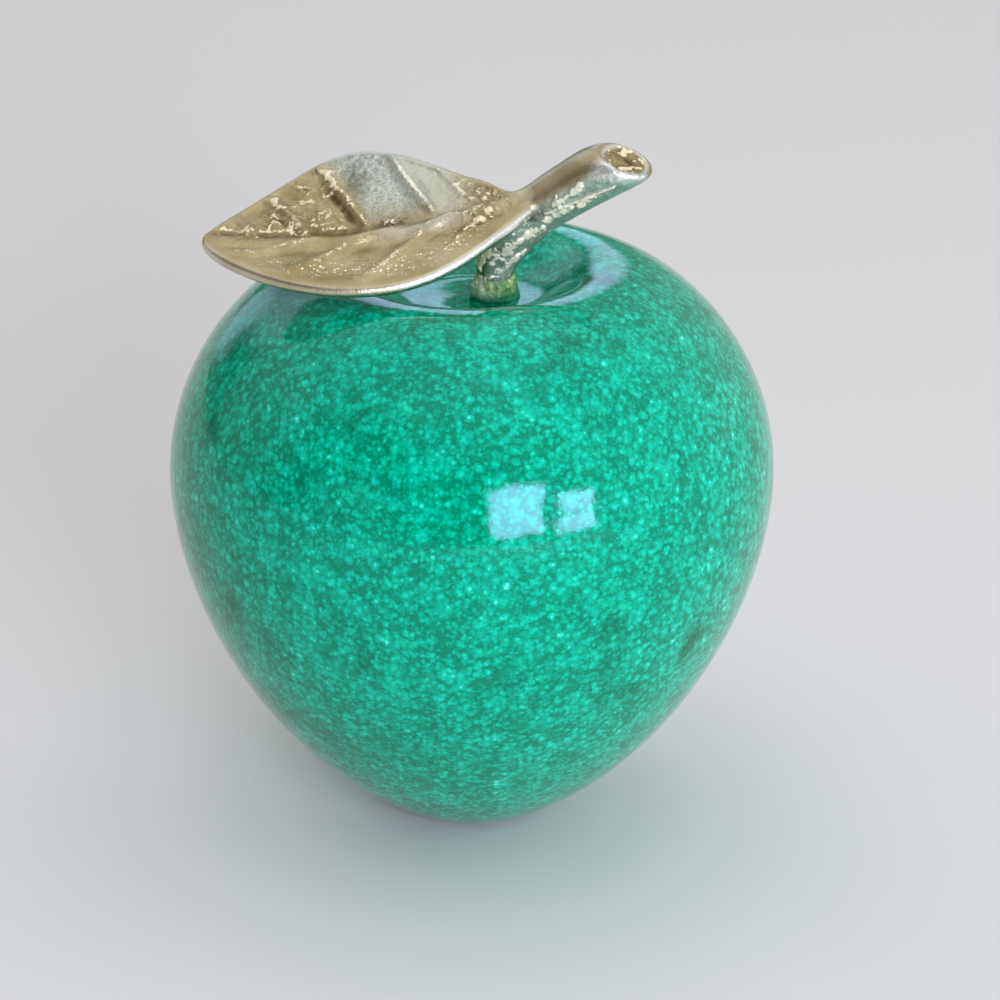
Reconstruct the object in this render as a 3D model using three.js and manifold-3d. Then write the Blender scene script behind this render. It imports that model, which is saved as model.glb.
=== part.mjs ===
// Marble apple paperweight: a turned and polished stone apple with a cast metal leaf and stem.
// The casting is pinned and glued into the dimple, and the ground base carries a felt pad.
// Millimetres, +Z up, with the origin under the middle of the pad. The leaf points to -X.

import * as THREE from 'three';
import { mergeVertices } from 'three/addons/utils/BufferGeometryUtils.js';
import Module from 'manifold-3d';

// Felt pad
const FELT_THICKNESS = 1;
const FELT_INSET = 2; // bare stone left round the pad

// Stone apple
const APPLE_RADIUS = 37.5;
const LOWER_HEIGHT = 45.4; // from the ground base up to the widest ring
const SHOULDER_HEIGHT = 26.6; // from the widest ring up to the crest
const BASE_RADIUS = 10;
const CREST_RADIUS = 17.3;
const DIMPLE_DEPTH = 4; // from the crest down to the flat that the casting is glued to
const SEAT_MARGIN = 0.5; // flat left round the glue

// How far each end of a stretch of the apple's outline bulges, as a share of that stretch
const HIP_SPREAD = 0.66;
const HIP_RISE = 0.235;
const FLANK_FULLNESS = 0.31;
const SHOULDER_FULLNESS = 0.575;
const CREST_FULLNESS = 0.395;
const LIP_FULLNESS = 0.5;
const BOWL_FULLNESS = 0.45;

// Anchor pin, a plain stud set in the stone, with its top in the casting's foot
const PIN_RADIUS = 1;
const PIN_IN_STONE = 9;
const PIN_IN_FOOT = 3.6;
const PIN_CHAMFER = 0.3;
const PIN_CLEARANCE = 0.3;

// Epoxy bed: a cup round the pin, a thin line under the foot and a bead round it
const SLEEVE_WALL = 0.6;
const SLEEVE_CLEARANCE = 0.3;
const GLUE_LINE = 0.4;
const GLUE_CLEARANCE = 0.3;
const BEAD_RADIUS = 3.4;
const BEAD_HEIGHT = 1.2;

// Stem, bent in one upright plane that swings towards the front (-Y)
const FOOT_OFFSET = 2.6; // the foot stands this far to +X of the apple's middle
const FOOT_RADIUS = 2.1;
const KNEE_RADIUS = 2.8;
const STEM_RADIUS = 3.35;
const STEM_REACH = 16.8; // plan distance from the foot to the cut end
const STEM_SWING = 24; // degrees
const END_RISE = 5.3; // cut end above the leaf's root
const RUN_DROP = 0.3; // the run's guide point below the leaf's root
const RUN_SHARE = 0.525; // that guide point's share of the reach
const BEND_SHARE = 0.65; // height of the bend's guide point between foot and root
const KNEE_SHARE = 0.35; // share of the stem's line at which it has thickened to the knee
const SLANT_SHARE = 0.6; // share of the line past which its section slants to the cut end
const END_LEAN = 24; // degrees, the cut end's face away from level
const END_TURN = -32; // degrees, the way that the cut end faces, from +X towards +Y
const RIM_WIDTH = 1.5;
const RIM_HEIGHT = 0.45;
const END_HOLLOW = 0.4;

// Leaf, a folded blade with a rounded edge
const LEAF_LENGTH = 41.3;
const LEAF_HALF_WIDTH = 11.9;
const LEAF_THICKNESS = 1.6;
const LEAF_SWING = 2.9; // the tip towards the front
const LEAF_SAG = 6; // of the midrib's guide point below its root
const TIP_DROP = 4.4; // of the tip below the root
const LEAF_GAP = 1.2; // air between the blade's lowest edge and the level of the crest
const LEAF_JOIN_SHARE = 0.6; // share of the stem's line at which the leaf grows out of it
const ROOT_FORWARD = 0.6; // of the leaf's root towards the front of the stem's line
const FRONT_SLOPE = 18.3; // degrees, down towards the front
const BACK_SLOPE = 16.2; // degrees, up towards the back at both ends of the blade
const BACK_CURL = 24.8; // degrees more at mid length

// Guide points of the midrib, as shares of the leaf's length, swing and sag
const MIDRIB_NEAR = { along: 0.27, swing: -0.2, sag: 0.32 };
const MIDRIB_FAR = { along: 0.5, swing: 0.58, sag: 1 };

// Outline of each half of the blade, sin(pi u^lead)^round of the half width at share u of its length
const FRONT_HALF = { lead: 1.39, round: 0.55 };
const BACK_HALF = { lead: 1.68, round: 0.72 };
const EDGE_ROUND_POWER = 0.5; // power that rounds the blade's section, 1 is a lens and 0 a slab
const TIP_TAPER_POWER = 12; // power that thins the blade close to its tip
const ROOT_TAPER_POWER = 20; // power that thins it close to its root
const LEAF_START_SHARE = 0.02; // share of the length that stays inside the stem
const LEAF_END_SHARE = 0.995;

// Facets
const APPLE_SIDES = 60;
const SMALL_SIDES = 28;
const OUTLINE_STEPS = 10;
const STEM_STEPS = 14;
const RIM_STEPS = 4;
const LEAF_STEPS = 26;
const CASTING_SIDES = 24;
const CUT_OVERSHOOT = 1;

// Levels and sizes that follow from the ones above
const baseZ = FELT_THICKNESS;
const widestZ = baseZ + LOWER_HEIGHT;
const crestZ = widestZ + SHOULDER_HEIGHT;
const seatZ = crestZ - DIMPLE_DEPTH;
const seatRadius = FOOT_OFFSET + BEAD_RADIUS + SEAT_MARGIN;
const holeRadius = PIN_RADIUS + PIN_CLEARANCE;
const sleeveRadius = holeRadius + SLEEVE_WALL;
const boreRadius = sleeveRadius + SLEEVE_CLEARANCE;
const glueZ = seatZ + GLUE_CLEARANCE;
const footZ = glueZ + GLUE_LINE + GLUE_CLEARANCE;
const pinBottomZ = footZ - PIN_IN_STONE;
const cupFloorZ = pinBottomZ - PIN_CLEARANCE;
const cupBottomZ = cupFloorZ - SLEEVE_WALL;
const boreBottomZ = cupBottomZ - SLEEVE_CLEARANCE;
const pinLength = PIN_IN_STONE + PIN_IN_FOOT;

const { lerp, degToRad, smoothstep } = THREE.MathUtils;
const UP = new THREE.Vector3(0, 0, 1);
const wasm = await Module();
wasm.setup();

// A profile of radius and height turned about the Z axis
function turned(profile, sides) {
  return new THREE.LatheGeometry(profile, sides).rotateX(Math.PI / 2);
}

function corners(list) {
  return list.map(([radius, height]) => new THREE.Vector2(radius, height));
}

// A skin over rings of points that run anticlockwise about its direction, closed on a point at each end
function skin(rings, start, end) {
  const around = rings[0].length;
  const points = [...rings.flat(), start, end];
  const first = points.length - 2;
  const last = points.length - 1;
  const top = (rings.length - 1) * around;
  const faces = [];
  for (let i = 0; i < around; i++) {
    const next = (i + 1) % around;
    faces.push(first, next, i);
    for (let base = 0; base < top; base += around) {
      faces.push(base + i, base + next, base + around + next);
      faces.push(base + i, base + around + next, base + around + i);
    }
    faces.push(last, top + i, top + next);
  }
  return new THREE.BufferGeometry().setFromPoints(points).setIndex(faces);
}

// A solid to cut and join, from a closed geometry with its seams and poles merged
function solid(geometry) {
  geometry.deleteAttribute('normal');
  geometry.deleteAttribute('uv');
  const merged = mergeVertices(geometry);
  const faces = [];
  for (let i = 0; i < merged.index.count; i += 3) {
    const face = [0, 1, 2].map((corner) => merged.index.getX(i + corner));
    if (new Set(face).size === 3) faces.push(...face);
  }
  return new wasm.Manifold(new wasm.Mesh({
    numProp: 3,
    vertProperties: new Float32Array(merged.attributes.position.array),
    triVerts: new Uint32Array(faces),
  }));
}

function geometryOf(body) {
  const mesh = body.getMesh();
  const geometry = new THREE.BufferGeometry();
  geometry.setAttribute('position', new THREE.BufferAttribute(mesh.vertProperties, 3));
  geometry.setIndex(new THREE.BufferAttribute(mesh.triVerts, 1));
  return geometry;
}

// An upright cylinder under the foot, used to drill the stone and the casting
function drill(radius, bottom, top) {
  return turned(corners([[0, bottom], [radius, bottom], [radius, top], [0, top]]), SMALL_SIDES)
    .translate(FOOT_OFFSET, 0, 0);
}

// The apple's outline from the middle of its base, over the crest and down to the seat in the dimple
function appleGeometry() {
  const outline = new THREE.Path();
  outline.moveTo(0, baseZ);
  outline.lineTo(BASE_RADIUS, baseZ);
  outline.bezierCurveTo(
    lerp(BASE_RADIUS, APPLE_RADIUS, HIP_SPREAD), lerp(baseZ, widestZ, HIP_RISE),
    APPLE_RADIUS, lerp(widestZ, baseZ, FLANK_FULLNESS),
    APPLE_RADIUS, widestZ,
  );
  outline.bezierCurveTo(
    APPLE_RADIUS, lerp(widestZ, crestZ, SHOULDER_FULLNESS),
    lerp(CREST_RADIUS, APPLE_RADIUS, CREST_FULLNESS), crestZ,
    CREST_RADIUS, crestZ,
  );
  outline.bezierCurveTo(
    lerp(CREST_RADIUS, seatRadius, LIP_FULLNESS), crestZ,
    lerp(seatRadius, CREST_RADIUS, BOWL_FULLNESS), seatZ,
    seatRadius, seatZ,
  );
  outline.lineTo(0, seatZ);
  const apple = solid(turned(outline.getPoints(OUTLINE_STEPS), APPLE_SIDES));
  const bore = solid(drill(boreRadius, boreBottomZ, seatZ + CUT_OVERSHOOT));
  return geometryOf(apple.subtract(bore));
}

function feltGeometry() {
  const radius = BASE_RADIUS - FELT_INSET;
  return turned(corners([[0, 0], [radius, 0], [radius, FELT_THICKNESS], [0, FELT_THICKNESS]]), APPLE_SIDES);
}

function pinGeometry() {
  return turned(corners([
    [0, 0],
    [PIN_RADIUS - PIN_CHAMFER, 0],
    [PIN_RADIUS, PIN_CHAMFER],
    [PIN_RADIUS, pinLength - PIN_CHAMFER],
    [PIN_RADIUS - PIN_CHAMFER, pinLength],
    [0, pinLength],
  ]), SMALL_SIDES);
}

// Up the outside of the cup, out under the bead, over its hollow slope and back down inside the cup
function epoxyGeometry() {
  const footGap = FOOT_RADIUS + GLUE_CLEARANCE;
  const topZ = glueZ + GLUE_LINE;
  const outline = new THREE.Path();
  outline.moveTo(0, cupBottomZ);
  outline.lineTo(sleeveRadius, cupBottomZ);
  outline.lineTo(sleeveRadius, glueZ);
  outline.lineTo(BEAD_RADIUS, glueZ);
  outline.quadraticCurveTo(footGap, topZ, footGap, glueZ + BEAD_HEIGHT);
  outline.lineTo(footGap, topZ);
  outline.lineTo(holeRadius, topZ);
  outline.lineTo(holeRadius, cupFloorZ);
  outline.lineTo(0, cupFloorZ);
  return turned(outline.getPoints(OUTLINE_STEPS), SMALL_SIDES);
}

// The leaf's midrib from its root at the origin
const midrib = new THREE.CubicBezierCurve3(
  new THREE.Vector3(),
  midribGuide(MIDRIB_NEAR),
  midribGuide(MIDRIB_FAR),
  new THREE.Vector3(-LEAF_LENGTH, -LEAF_SWING, -TIP_DROP),
);

function midribGuide({ along, swing, sag }) {
  return new THREE.Vector3(-LEAF_LENGTH * along, -LEAF_SWING * swing, -LEAF_SAG * sag);
}

// A point of the blade's middle surface at share u of its length, with side from -1 at the front edge
// to 1 at the back edge, and the direction square to the surface there
function bladePoint(u, side) {
  const tangent = midrib.getTangent(u);
  const across = tangent.clone().cross(UP).normalize();
  const above = across.clone().cross(tangent);
  const half = side < 0 ? FRONT_HALF : BACK_HALF;
  const width = LEAF_HALF_WIDTH * Math.sin(Math.PI * u ** half.lead) ** half.round;
  const curl = BACK_CURL * Math.sin(Math.PI * u) ** 2;
  const slope = degToRad(side < 0 ? FRONT_SLOPE : BACK_SLOPE + curl);
  const along = across.clone().multiplyScalar(Math.cos(slope)).addScaledVector(above, Math.sin(slope));
  const square = above.multiplyScalar(Math.cos(slope)).addScaledVector(across, -Math.sin(slope));
  return { point: midrib.getPoint(u).addScaledVector(along, side * width), square };
}

function leafRing(u) {
  const taper = (1 - u ** TIP_TAPER_POWER) * (1 - (1 - u) ** ROOT_TAPER_POWER);
  const halfThickness = LEAF_THICKNESS / 2 * Math.sqrt(taper);
  return Array.from({ length: CASTING_SIDES }, (_, i) => {
    const angle = 2 * Math.PI * i / CASTING_SIDES;
    const { point, square } = bladePoint(u, Math.sin(angle));
    const height = Math.sign(Math.cos(angle)) * Math.abs(Math.cos(angle)) ** EDGE_ROUND_POWER;
    return point.addScaledVector(square, halfThickness * height);
  });
}

function leafRings() {
  const steps = Array.from({ length: LEAF_STEPS + 1 }, (_, i) => i / LEAF_STEPS);
  return steps.map((step) => leafRing(lerp(LEAF_START_SHARE, LEAF_END_SHARE, step)));
}

// The leaf's root sits high enough for its lowest edge to clear the crest
const lowestEdge = Math.min(...leafRings().flat().map((point) => point.z));
const rootZ = crestZ + LEAF_GAP - lowestEdge;

// The stem's centre line: upright out of the foot, then bent over and out to the cut end
function stemPoint(reach, height) {
  const swing = degToRad(STEM_SWING);
  return new THREE.Vector3(FOOT_OFFSET + reach * Math.cos(swing), -reach * Math.sin(swing), height);
}

const stemLine = new THREE.CubicBezierCurve3(
  stemPoint(0, footZ),
  stemPoint(0, lerp(footZ, rootZ, BEND_SHARE)),
  stemPoint(STEM_REACH * RUN_SHARE, rootZ - RUN_DROP),
  stemPoint(STEM_REACH, rootZ + END_RISE),
);
const endFacing = new THREE.Vector3(Math.sin(degToRad(END_LEAN)), 0, Math.cos(degToRad(END_LEAN)))
  .applyAxisAngle(UP, degToRad(END_TURN));

function stemRadius(share) {
  const knee = smoothstep(share, 0, KNEE_SHARE);
  const run = smoothstep(share, KNEE_SHARE, 1);
  return lerp(lerp(FOOT_RADIUS, KNEE_RADIUS, knee), STEM_RADIUS, run);
}

// A ring round the stem, sheared from square at the foot to the plane of the cut face at its end
function stemRing(share, radius, lift = 0) {
  const centre = stemLine.getPoint(share).addScaledVector(endFacing, lift);
  const tangent = stemLine.getTangent(share);
  const side = tangent.clone().cross(stemPoint(1, 0).sub(stemPoint(0, 0)).cross(UP)).normalize();
  const other = tangent.clone().cross(side);
  const shear = smoothstep(share, SLANT_SHARE, 1) / tangent.dot(endFacing);
  return Array.from({ length: CASTING_SIDES }, (_, i) => {
    const angle = 2 * Math.PI * i / CASTING_SIDES;
    const spoke = side.clone().multiplyScalar(radius * Math.cos(angle));
    spoke.addScaledVector(other, radius * Math.sin(angle));
    return centre.clone().add(spoke).addScaledVector(tangent, -spoke.dot(endFacing) * shear);
  });
}

// The stem ends in a rounded rim with a shallow hollow inside it
function stemGeometry() {
  const rings = [];
  for (let i = 0; i <= STEM_STEPS; i++) {
    const share = i / STEM_STEPS;
    rings.push(stemRing(share, stemRadius(share)));
  }
  for (let i = 1; i <= RIM_STEPS; i++) {
    const angle = Math.PI * i / RIM_STEPS;
    const inset = RIM_WIDTH / 2 * (1 - Math.cos(angle));
    rings.push(stemRing(1, STEM_RADIUS - inset, RIM_HEIGHT * Math.sin(angle)));
  }
  const hollow = stemLine.getPoint(1).addScaledVector(endFacing, -END_HOLLOW);
  return skin(rings, stemLine.getPoint(0), hollow);
}

function leafGeometry() {
  const root = stemLine.getPoint(LEAF_JOIN_SHARE).setZ(rootZ);
  const blade = skin(leafRings(), midrib.getPoint(LEAF_START_SHARE), midrib.getPoint(1));
  return blade.translate(root.x, root.y - ROOT_FORWARD, root.z);
}

function castingGeometry() {
  const hole = solid(drill(holeRadius, footZ - CUT_OVERSHOOT, footZ + PIN_IN_FOOT + PIN_CLEARANCE));
  return geometryOf(solid(stemGeometry()).add(solid(leafGeometry())).subtract(hole));
}

function piece(name, geometry, look) {
  const mesh = new THREE.Mesh(geometry, new THREE.MeshStandardMaterial(look));
  mesh.name = name;
  return mesh;
}

const FELT = { color: 0x23352b, roughness: 0.95, metalness: 0 };
const STONE = { color: 0x1fa688, roughness: 0.15, metalness: 0 };
const BRASS_ROD = { color: 0xb08d57, roughness: 0.35, metalness: 1 };
const EPOXY = { color: 0xa9b06a, roughness: 0.25, metalness: 0 };
const CASTING = { color: 0xb9ae87, roughness: 0.35, metalness: 1 };

const pin = piece('anchor_pin', pinGeometry(), BRASS_ROD);
pin.position.z = pinBottomZ;
const fixing = new THREE.Group();
fixing.position.x = FOOT_OFFSET;
fixing.add(pin, piece('epoxy_bed', epoxyGeometry(), EPOXY));

const paperweight = new THREE.Group();
paperweight.add(piece('felt_pad', feltGeometry(), FELT));
paperweight.add(piece('stone_apple', appleGeometry(), STONE));
paperweight.add(fixing);
paperweight.add(piece('leaf_and_stem', castingGeometry(), CASTING));

export default paperweight;
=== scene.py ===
"""Marble apple paperweight: a polished green stone apple with a cast metal leaf and stem.

Metres, +Z up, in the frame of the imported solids, whose boxes give the main sizes.
The leaf points to -X, the stem to +X, and the camera looks along +Y from above the front.
"""
from collections import namedtuple
import bpy
import numpy as np
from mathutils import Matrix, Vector


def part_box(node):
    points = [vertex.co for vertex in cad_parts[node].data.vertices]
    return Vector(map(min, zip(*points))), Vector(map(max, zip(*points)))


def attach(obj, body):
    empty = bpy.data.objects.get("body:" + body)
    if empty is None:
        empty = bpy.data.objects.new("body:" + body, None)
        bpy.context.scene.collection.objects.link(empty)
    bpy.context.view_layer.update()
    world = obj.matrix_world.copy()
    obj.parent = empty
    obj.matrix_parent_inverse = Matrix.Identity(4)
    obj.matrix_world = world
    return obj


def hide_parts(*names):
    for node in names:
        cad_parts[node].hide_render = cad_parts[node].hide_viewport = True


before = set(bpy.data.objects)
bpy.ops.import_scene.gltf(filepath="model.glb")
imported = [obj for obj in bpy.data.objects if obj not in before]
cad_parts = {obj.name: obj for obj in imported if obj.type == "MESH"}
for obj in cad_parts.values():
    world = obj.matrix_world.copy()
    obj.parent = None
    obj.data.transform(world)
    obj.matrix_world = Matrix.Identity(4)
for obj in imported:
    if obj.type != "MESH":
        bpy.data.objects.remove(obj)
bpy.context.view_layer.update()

MM = 0.001
TAU = 2 * np.pi


def corners(node):
    """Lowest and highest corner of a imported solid's box."""
    return [np.array(corner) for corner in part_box(node)]


# Stone apple, from its packed box and the shares that shape its outline
stone_low, stone_high = corners("stone_apple")
APPLE_RADIUS = stone_high[0]
BASE_Z = stone_low[2]
CREST_Z = stone_high[2]
WIDEST_Z = BASE_Z + 45.4 * MM
BASE_RADIUS = 10 * MM
CREST_RADIUS = 17.3 * MM
DIMPLE_DEPTH = 4 * MM
SEAT_Z = CREST_Z - DIMPLE_DEPTH
SEAT_RADIUS = 6.5 * MM
EDGE_EASE = 0.25 * MM  # the polisher's rounding of a ground edge
HIP_SPREAD, HIP_RISE, FLANK_FULLNESS = 0.66, 0.235, 0.31
SHOULDER_FULLNESS, CREST_FULLNESS = 0.575, 0.395
LIP_FULLNESS, BOWL_FULLNESS = 0.5, 0.45

# Glue, pin and the bore that holds them
glue_low, glue_high = corners("epoxy_bed")
pin_low, pin_high = corners("anchor_pin")
FOOT_X = (glue_low[0] + glue_high[0]) / 2
PIN_RADIUS = (pin_high[0] - pin_low[0]) / 2
CLEARANCE = 0.3 * MM
BORE_RADIUS = 2.2 * MM
BORE_BOTTOM_Z = glue_low[2] - CLEARANCE
HOLE_RADIUS = PIN_RADIUS + CLEARANCE
HOLE_TOP_Z = pin_high[2] + CLEARANCE
HOLE_ROOF = 1.3 * MM  # metal over the pin's hole that no fillet changes
MOUND_THICKNESS, MOUND_HEIGHT, MOUND_GAP = 0.72 * MM, 3.5 * MM, 0.05 * MM
MOUND_LEAN = np.array([0.45, 0.25, 0])  # the glue stands thicker to the right and at the back

# Felt pad
FELT_RADIUS, FELT_THICKNESS = corners("felt_pad")[1][[0, 2]]

# Casting: the stem's line and thickness
FOOT_Z = corners("leaf_and_stem")[0][2]
ROOT_Z = CREST_Z + 9.58 * MM  # height of the leaf's root on the stem
FOOT_RADIUS, KNEE_RADIUS, STEM_RADIUS = 2.1 * MM, 3.0 * MM, 3.45 * MM
STEM_REACH, STEM_RUN = 17.0 * MM, 26 * MM  # across from the foot, and along the stem's line
STEM_SWING = np.radians(24)
END_RISE, RUN_RISE = 5.8 * MM, 0.5 * MM
RUN_SHARE, BEND_SHARE, KNEE_SHARE = 0.525, 0.65, 0.35
SLANT_START, SLANT_END = 0.6, 0.95  # shares along between which its rings lean over to the cut end's plane
END_LEAN, END_TURN = np.radians(24), np.radians(-45)
LIP_WIDTH, LIP_ROUND, HOLLOW_FALL, HOLLOW_DEPTH = 0.75 * MM, 2.4 * MM, 0.6 * MM, 0.5 * MM

# Casting: the leaf's midrib, halves and thickness
LEAF_LENGTH, LEAF_THICKNESS = 41.6 * MM, 1.6 * MM
FRONT_WIDTH, BACK_WIDTH = 11.7 * MM, 11.65 * MM
LEAF_SWING, LEAF_SAG, TIP_DROP = 2.9 * MM, 5.1 * MM, 4.5 * MM
LEAF_JOIN_SHARE, ROOT_FORWARD = 0.6, 0.6 * MM
FRONT_SLOPE, BACK_SLOPE, BACK_CURL = np.radians(18.3), np.radians(16.2), np.radians(24.8)
CREASE_ROUND = 1.5 * MM  # how softly the two halves fold along the midrib
FRONT_LEAD, FRONT_ROUND = 1.39, 0.59  # powers: where the half is widest, and how blunt its ends are
BACK_LEAD, BACK_ROUND = 1.6, 0.80
WAIST_AT, WAIST_SPREAD, WAIST_SHARE = 0.14, 0.05, 0.30  # the back half narrows before it meets the stem
TOP_FILLET, EDGE_FILLET, UNDER_FILLET = 1.1 * MM, 1.2 * MM, 6 * MM  # where the leaf flows into the stem
VOXEL = 0.18 * MM  # finer than the smallest lump of the cast skin


def mix(a, b, share):
    """Straight blend: a at a share of 0 and b at 1."""
    return a + (b - a) * share


def ease(value, low, high):
    """0 below low and 1 above high, with a smooth S between them."""
    t = np.clip((value - low) / (high - low), 0, 1)
    return t * t * (3 - 2 * t)


def between(value, low, full, fall, gone):
    """0 below low, 1 from full to fall, and 0 again above gone, with a smooth S on both sides."""
    return ease(value, low, full) * (1 - ease(value, fall, gone))


def hump(value, width):
    """Bell curve: 1 at 0, about a third at the width on both sides, and next to 0 at twice the width."""
    return np.exp(-(value / width) ** 2)


def dot(a, b):
    """Dot products of two arrays of vectors."""
    return (a * b).sum(axis=-1)


def unit(vector):
    """Vectors of the same direction and a length of 1."""
    return vector / np.linalg.norm(vector, axis=-1, keepdims=True)


def bezier(guides, t):
    """Cubic curve: each guide point weighted by its share in the expansion of ((1 - t) + t) cubed."""
    t = np.asarray(t)[..., None]
    weights = ((1 - t) ** 3, 3 * (1 - t) ** 2 * t, 3 * (1 - t) * t ** 2, t ** 3)
    return sum(weight * np.asarray(guide, float) for weight, guide in zip(weights, guides))


def bezier_slope(guides, t):
    """How fast the cubic curve moves: three times the quadratic curve of the guides' steps."""
    t = np.asarray(t)[..., None]
    steps = np.diff(np.asarray(guides, float), axis=0)
    weights = ((1 - t) ** 2, 2 * (1 - t) * t, t ** 2)
    return 3 * sum(weight * step for weight, step in zip(weights, steps))


def scatter(cell, seed):
    """A repeatable random number from 0 to 1 for each cell of whole numbers."""
    mixed = cell[..., 0] * 73856093 ^ cell[..., 1] * 19349663 ^ cell[..., 2] * 83492791 ^ seed * 1299721
    mixed = (mixed ^ (mixed >> 13)) & 0x7FFFFFFF
    mixed = (mixed * 1274126177) & 0x7FFFFFFF
    return ((mixed ^ (mixed >> 15)) & 0xFFFF) / 0xFFFF


def lumps(points, size, seed):
    """Value noise from 0 to 1: random heights on a lattice of that size, blended smoothly between."""
    place = points / size
    cell = np.floor(place).astype(np.int64)
    part = ease(place - cell, 0, 1)
    total = 0
    for corner in np.ndindex(2, 2, 2):
        weight = np.prod(np.where(corner, part, 1 - part), axis=-1)
        total = total + weight * scatter(cell + corner, seed)
    return total


def swells(points, size, seed):
    """Lumps that rise and sink by up to a half about 0."""
    return lumps(points, size, seed) - 0.5


def near_cells(points, size, seed):
    """For the 27 cells round each point: the cell, the point's place in it, and three random numbers."""
    place = points / size
    cell = np.floor(place).astype(np.int64)
    for step in np.ndindex(3, 3, 3):
        near = cell + step - 1
        yield near, place - near, np.stack([scatter(near, seed + k) for k in (1, 2, 3)], axis=-1)


def beads(points, size, share, seed):
    """Round beads, one in each filled cell: 1 at a bead's middle, falling to 0 at its edge."""
    height = np.zeros(len(points))
    for near, place, jitter in near_cells(points, size, seed):
        radius = mix(0.25, 0.5, scatter(near, seed + 4))
        gap = np.linalg.norm(place - mix(0.2, 0.8, jitter), axis=-1) / radius
        filled = scatter(near, seed + 5) < share
        height = np.maximum(height, filled * np.sqrt(np.clip(1 - gap ** 2, 0, 1)))
    return height


def walls(points, size, seed):
    """Broken walls between random cells: 1 on a wall and 0 away from it.

    The wall lies where the two nearest of the cells' jittered middles are equally far.
    """
    first = np.full(len(points), 9.0)
    second = first.copy()
    for _, place, jitter in near_cells(points, size, seed):
        gap = np.linalg.norm(place - jitter, axis=-1)
        second = np.minimum(second, np.maximum(first, gap))
        first = np.minimum(first, gap)
    return hump(second - first, 0.18) * ease(lumps(points, 0.6 * size, seed + 4), 0.30, 0.60)


def wiggle(points, size, reach, seed):
    """Points pushed about by up to half a reach each way, by three fields of lumps of that size."""
    return points + reach * np.stack([swells(points, size, seed + k) for k in range(3)], axis=-1)


def new_mesh(name, points, faces):
    """A mesh of those points and faces, shaded smooth."""
    mesh = bpy.data.meshes.new(name)
    mesh.from_pydata(points.tolist(), [], faces)
    mesh.polygons.foreach_set("use_smooth", np.ones(len(mesh.polygons), bool))
    return mesh


def add_object(name, data):
    """An object of that mesh, lamp or camera, put into the scene."""
    thing = bpy.data.objects.new(name, data)
    bpy.context.collection.objects.link(thing)
    return thing


def add_piece(mesh, material, node):
    """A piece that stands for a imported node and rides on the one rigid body."""
    mesh.materials.append(material)
    piece = add_object(mesh.name, mesh)
    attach(piece, "root")
    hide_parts(node)


def skin(rings, start, end):
    """Points and faces of a closed surface over rings of points.

    Point j of ring i joins point j of ring i + 1, and the first and last rings close on a point.
    Rings run anticlockwise about the way that they follow each other, so that faces look outwards.
    """
    rows, around = rings.shape[:2]
    points = np.vstack([rings.reshape(-1, 3), start, end])
    j = np.arange(around)
    after = (j + 1) % around
    base = (np.arange(rows - 1) * around)[:, None]
    quads = np.stack([base + j, base + after, base + around + after, base + around + j], axis=-1)
    first, last = rows * around, rows * around + 1
    top = (rows - 1) * around
    opening = np.stack([np.full(around, first), after, j], axis=-1)
    closing = np.stack([np.full(around, last), top + j, top + after], axis=-1)
    return points, quads.reshape(-1, 4).tolist() + opening.tolist() + closing.tolist()


def turned(radius, height, around, centre_x):
    """Rings of a turned shape: each radius and height carried round an upright axis at centre_x."""
    angle = np.arange(around) / around * TAU
    x = np.outer(radius, np.cos(angle)) + np.broadcast_to(centre_x, len(radius))[:, None]
    y = np.outer(radius, np.sin(angle))
    z = np.broadcast_to(np.asarray(height)[:, None], x.shape)
    return np.stack([x, y, z], axis=-1)


def stone_apple():
    """The apple's outline turned about Z, then in over the flat seat and down the bore.

    The outline is three cubic curves: base to widest ring, widest ring to crest, crest to seat.
    Over the flat seat the rings' middle slides from the apple's axis to the bore's.
    """
    around, steps = 240, 80
    share = np.linspace(0, 1, steps)
    lower = bezier([(BASE_RADIUS, BASE_Z),
                    (mix(BASE_RADIUS, APPLE_RADIUS, HIP_SPREAD), mix(BASE_Z, WIDEST_Z, HIP_RISE)),
                    (APPLE_RADIUS, mix(WIDEST_Z, BASE_Z, FLANK_FULLNESS)),
                    (APPLE_RADIUS, WIDEST_Z)], share)
    upper = bezier([(APPLE_RADIUS, WIDEST_Z),
                    (APPLE_RADIUS, mix(WIDEST_Z, CREST_Z, SHOULDER_FULLNESS)),
                    (mix(CREST_RADIUS, APPLE_RADIUS, CREST_FULLNESS), CREST_Z),
                    (CREST_RADIUS, CREST_Z)], share)
    dimple = bezier([(CREST_RADIUS, CREST_Z),
                     (mix(CREST_RADIUS, SEAT_RADIUS, LIP_FULLNESS), CREST_Z),
                     (mix(SEAT_RADIUS, CREST_RADIUS, BOWL_FULLNESS), SEAT_Z),
                     (SEAT_RADIUS, SEAT_Z)], share)
    base = [(BASE_RADIUS / 2, BASE_Z), (BASE_RADIUS - EDGE_EASE, BASE_Z)]
    bore = [(BORE_RADIUS + EDGE_EASE, SEAT_Z),
            (BORE_RADIUS, SEAT_Z - EDGE_EASE),
            (BORE_RADIUS, BORE_BOTTOM_Z)]
    outline = np.vstack([base, lower, upper[1:], dimple[1:], bore])
    centre = np.zeros(len(outline))
    centre[-len(bore):] = FOOT_X
    rings = turned(outline[:, 0], outline[:, 1], around, centre)
    points, faces = skin(rings, (0, 0, BASE_Z), (FOOT_X, 0, BORE_BOTTOM_Z))
    return new_mesh("polished_apple", points, faces)


def stem_point(reach, height):
    """Point at a height and a level reach from the foot's axis, on the upright plane of the stem's line."""
    return (FOOT_X + reach * np.cos(STEM_SWING), -reach * np.sin(STEM_SWING), height)


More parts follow.
